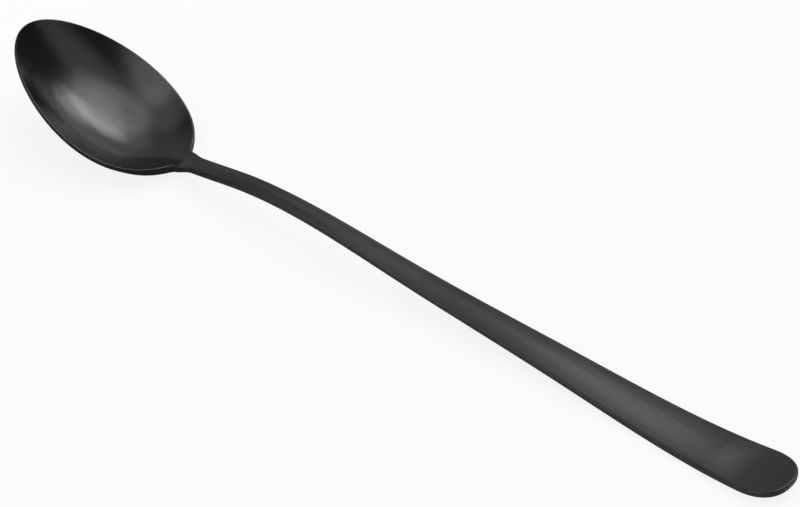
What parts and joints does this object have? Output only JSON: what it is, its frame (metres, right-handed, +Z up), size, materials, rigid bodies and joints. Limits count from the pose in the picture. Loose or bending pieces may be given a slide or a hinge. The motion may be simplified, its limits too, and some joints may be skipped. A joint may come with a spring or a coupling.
{
  "type": "iced tea spoon",
  "caption": "Long slim spoon with a small oval bowl, a narrow arched neck and a handle that widens to a flat rounded end, in satin black coated steel, for stirring tall glasses.",
  "frame": {"origin": "centre of the box around the spoon, at the height of the table that it lies on", "axes": "+X runs along the spoon from the tip of the bowl to the end of the handle, +Z points up out of the open side of the bowl, +Y is to the left of someone who looks along +X"},
  "size_m": [0.195, 0.0286, 0.018],
  "materials": {
    "black_steel": "satin black coating on stainless steel"
  },
  "bodies": {
    "root": {"bowl": "black_steel", "neck": "black_steel", "stem": "black_steel", "grip": "black_steel", "handle_end": "black_steel"}
  },
  "joints": []
}
